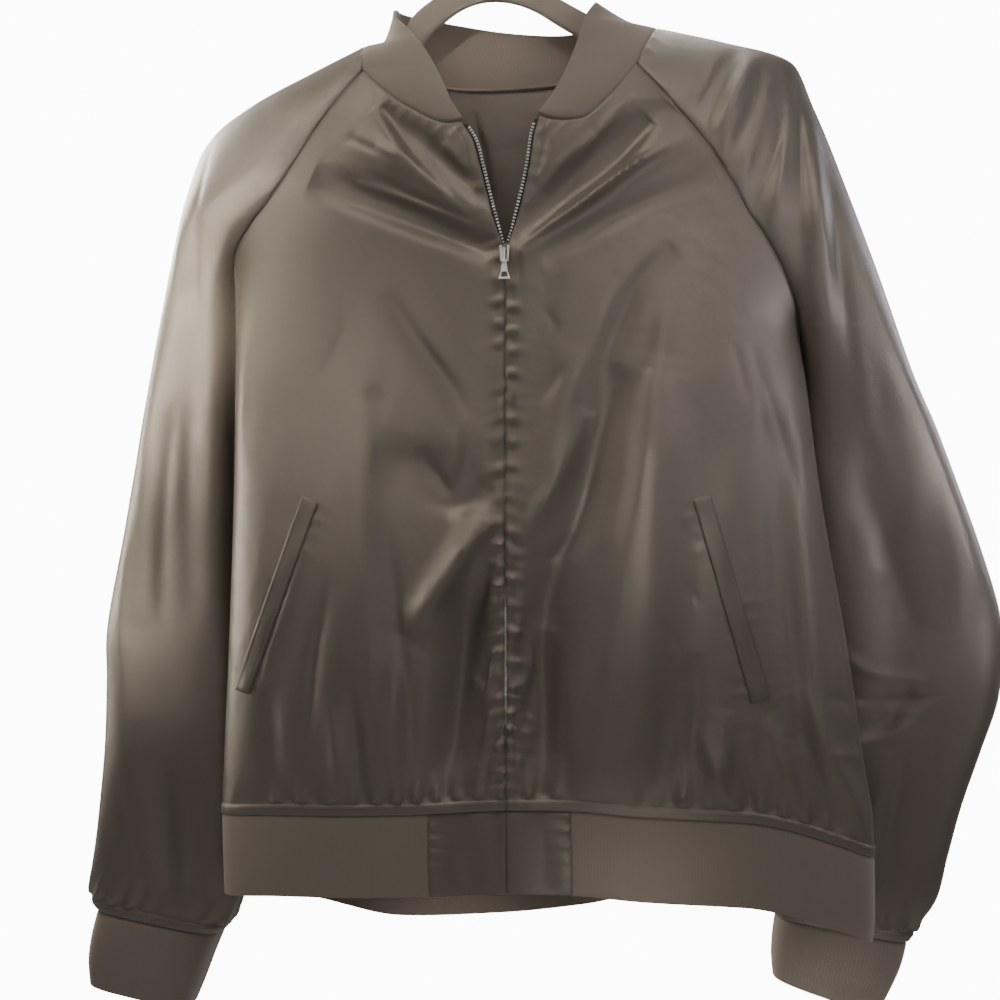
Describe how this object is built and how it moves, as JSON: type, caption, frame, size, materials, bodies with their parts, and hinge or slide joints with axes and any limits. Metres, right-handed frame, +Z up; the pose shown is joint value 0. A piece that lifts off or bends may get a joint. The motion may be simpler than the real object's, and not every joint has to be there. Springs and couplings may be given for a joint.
{
  "type": "bomber jacket on a hanger",
  "caption": "Raglan bomber jacket in satin with rib-knit collar, cuffs and hem, a part-open front zip and slanted welt pockets, hanging on a flat hanger with a metal hook.",
  "frame": {"origin": "where the hanger's hook bears on the top of a clothes rail", "axes": "+Z up, -Y the way the front of the jacket faces, +X the wearer's left"},
  "size_m": [0.7161, 0.163, 0.8728],
  "materials": {
    "satin": "taupe satin",
    "knit": "fine rib knit, matte",
    "tape": "woven zip tape",
    "zip_metal": "polished nickel-coloured metal",
    "hanger_plastic": "matte taupe",
    "hook_steel": "plated steel wire"
  },
  "bodies": {
    "jacket": {"front_right": "satin", "front_left": "satin", "back": "satin", "sleeve_right": "satin", "sleeve_left": "satin", "hem_block_right": "satin", "hem_block_left": "satin", "pocket_welt_right": "satin", "pocket_welt_left": "satin", "collar": "knit", "hem_rib": "knit", "cuff_right": "knit", "cuff_left": "knit", "zip_tape_right": "tape", "zip_tape_left": "tape", "zip_slider": "zip_metal", "hanger_body": "hanger_plastic", "hanger_hook": "hook_steel"},
    "zip_pull": {"zip_pull": "zip_metal"}
  },
  "joints": [
    {"name": "pull_hinge", "type": "hinge", "parent": "jacket", "child": "zip_pull", "pos_m": [0.022, -0.06673, -0.2903], "axis": [-1, 0, 0], "range_deg": [0, 120]}
  ]
}
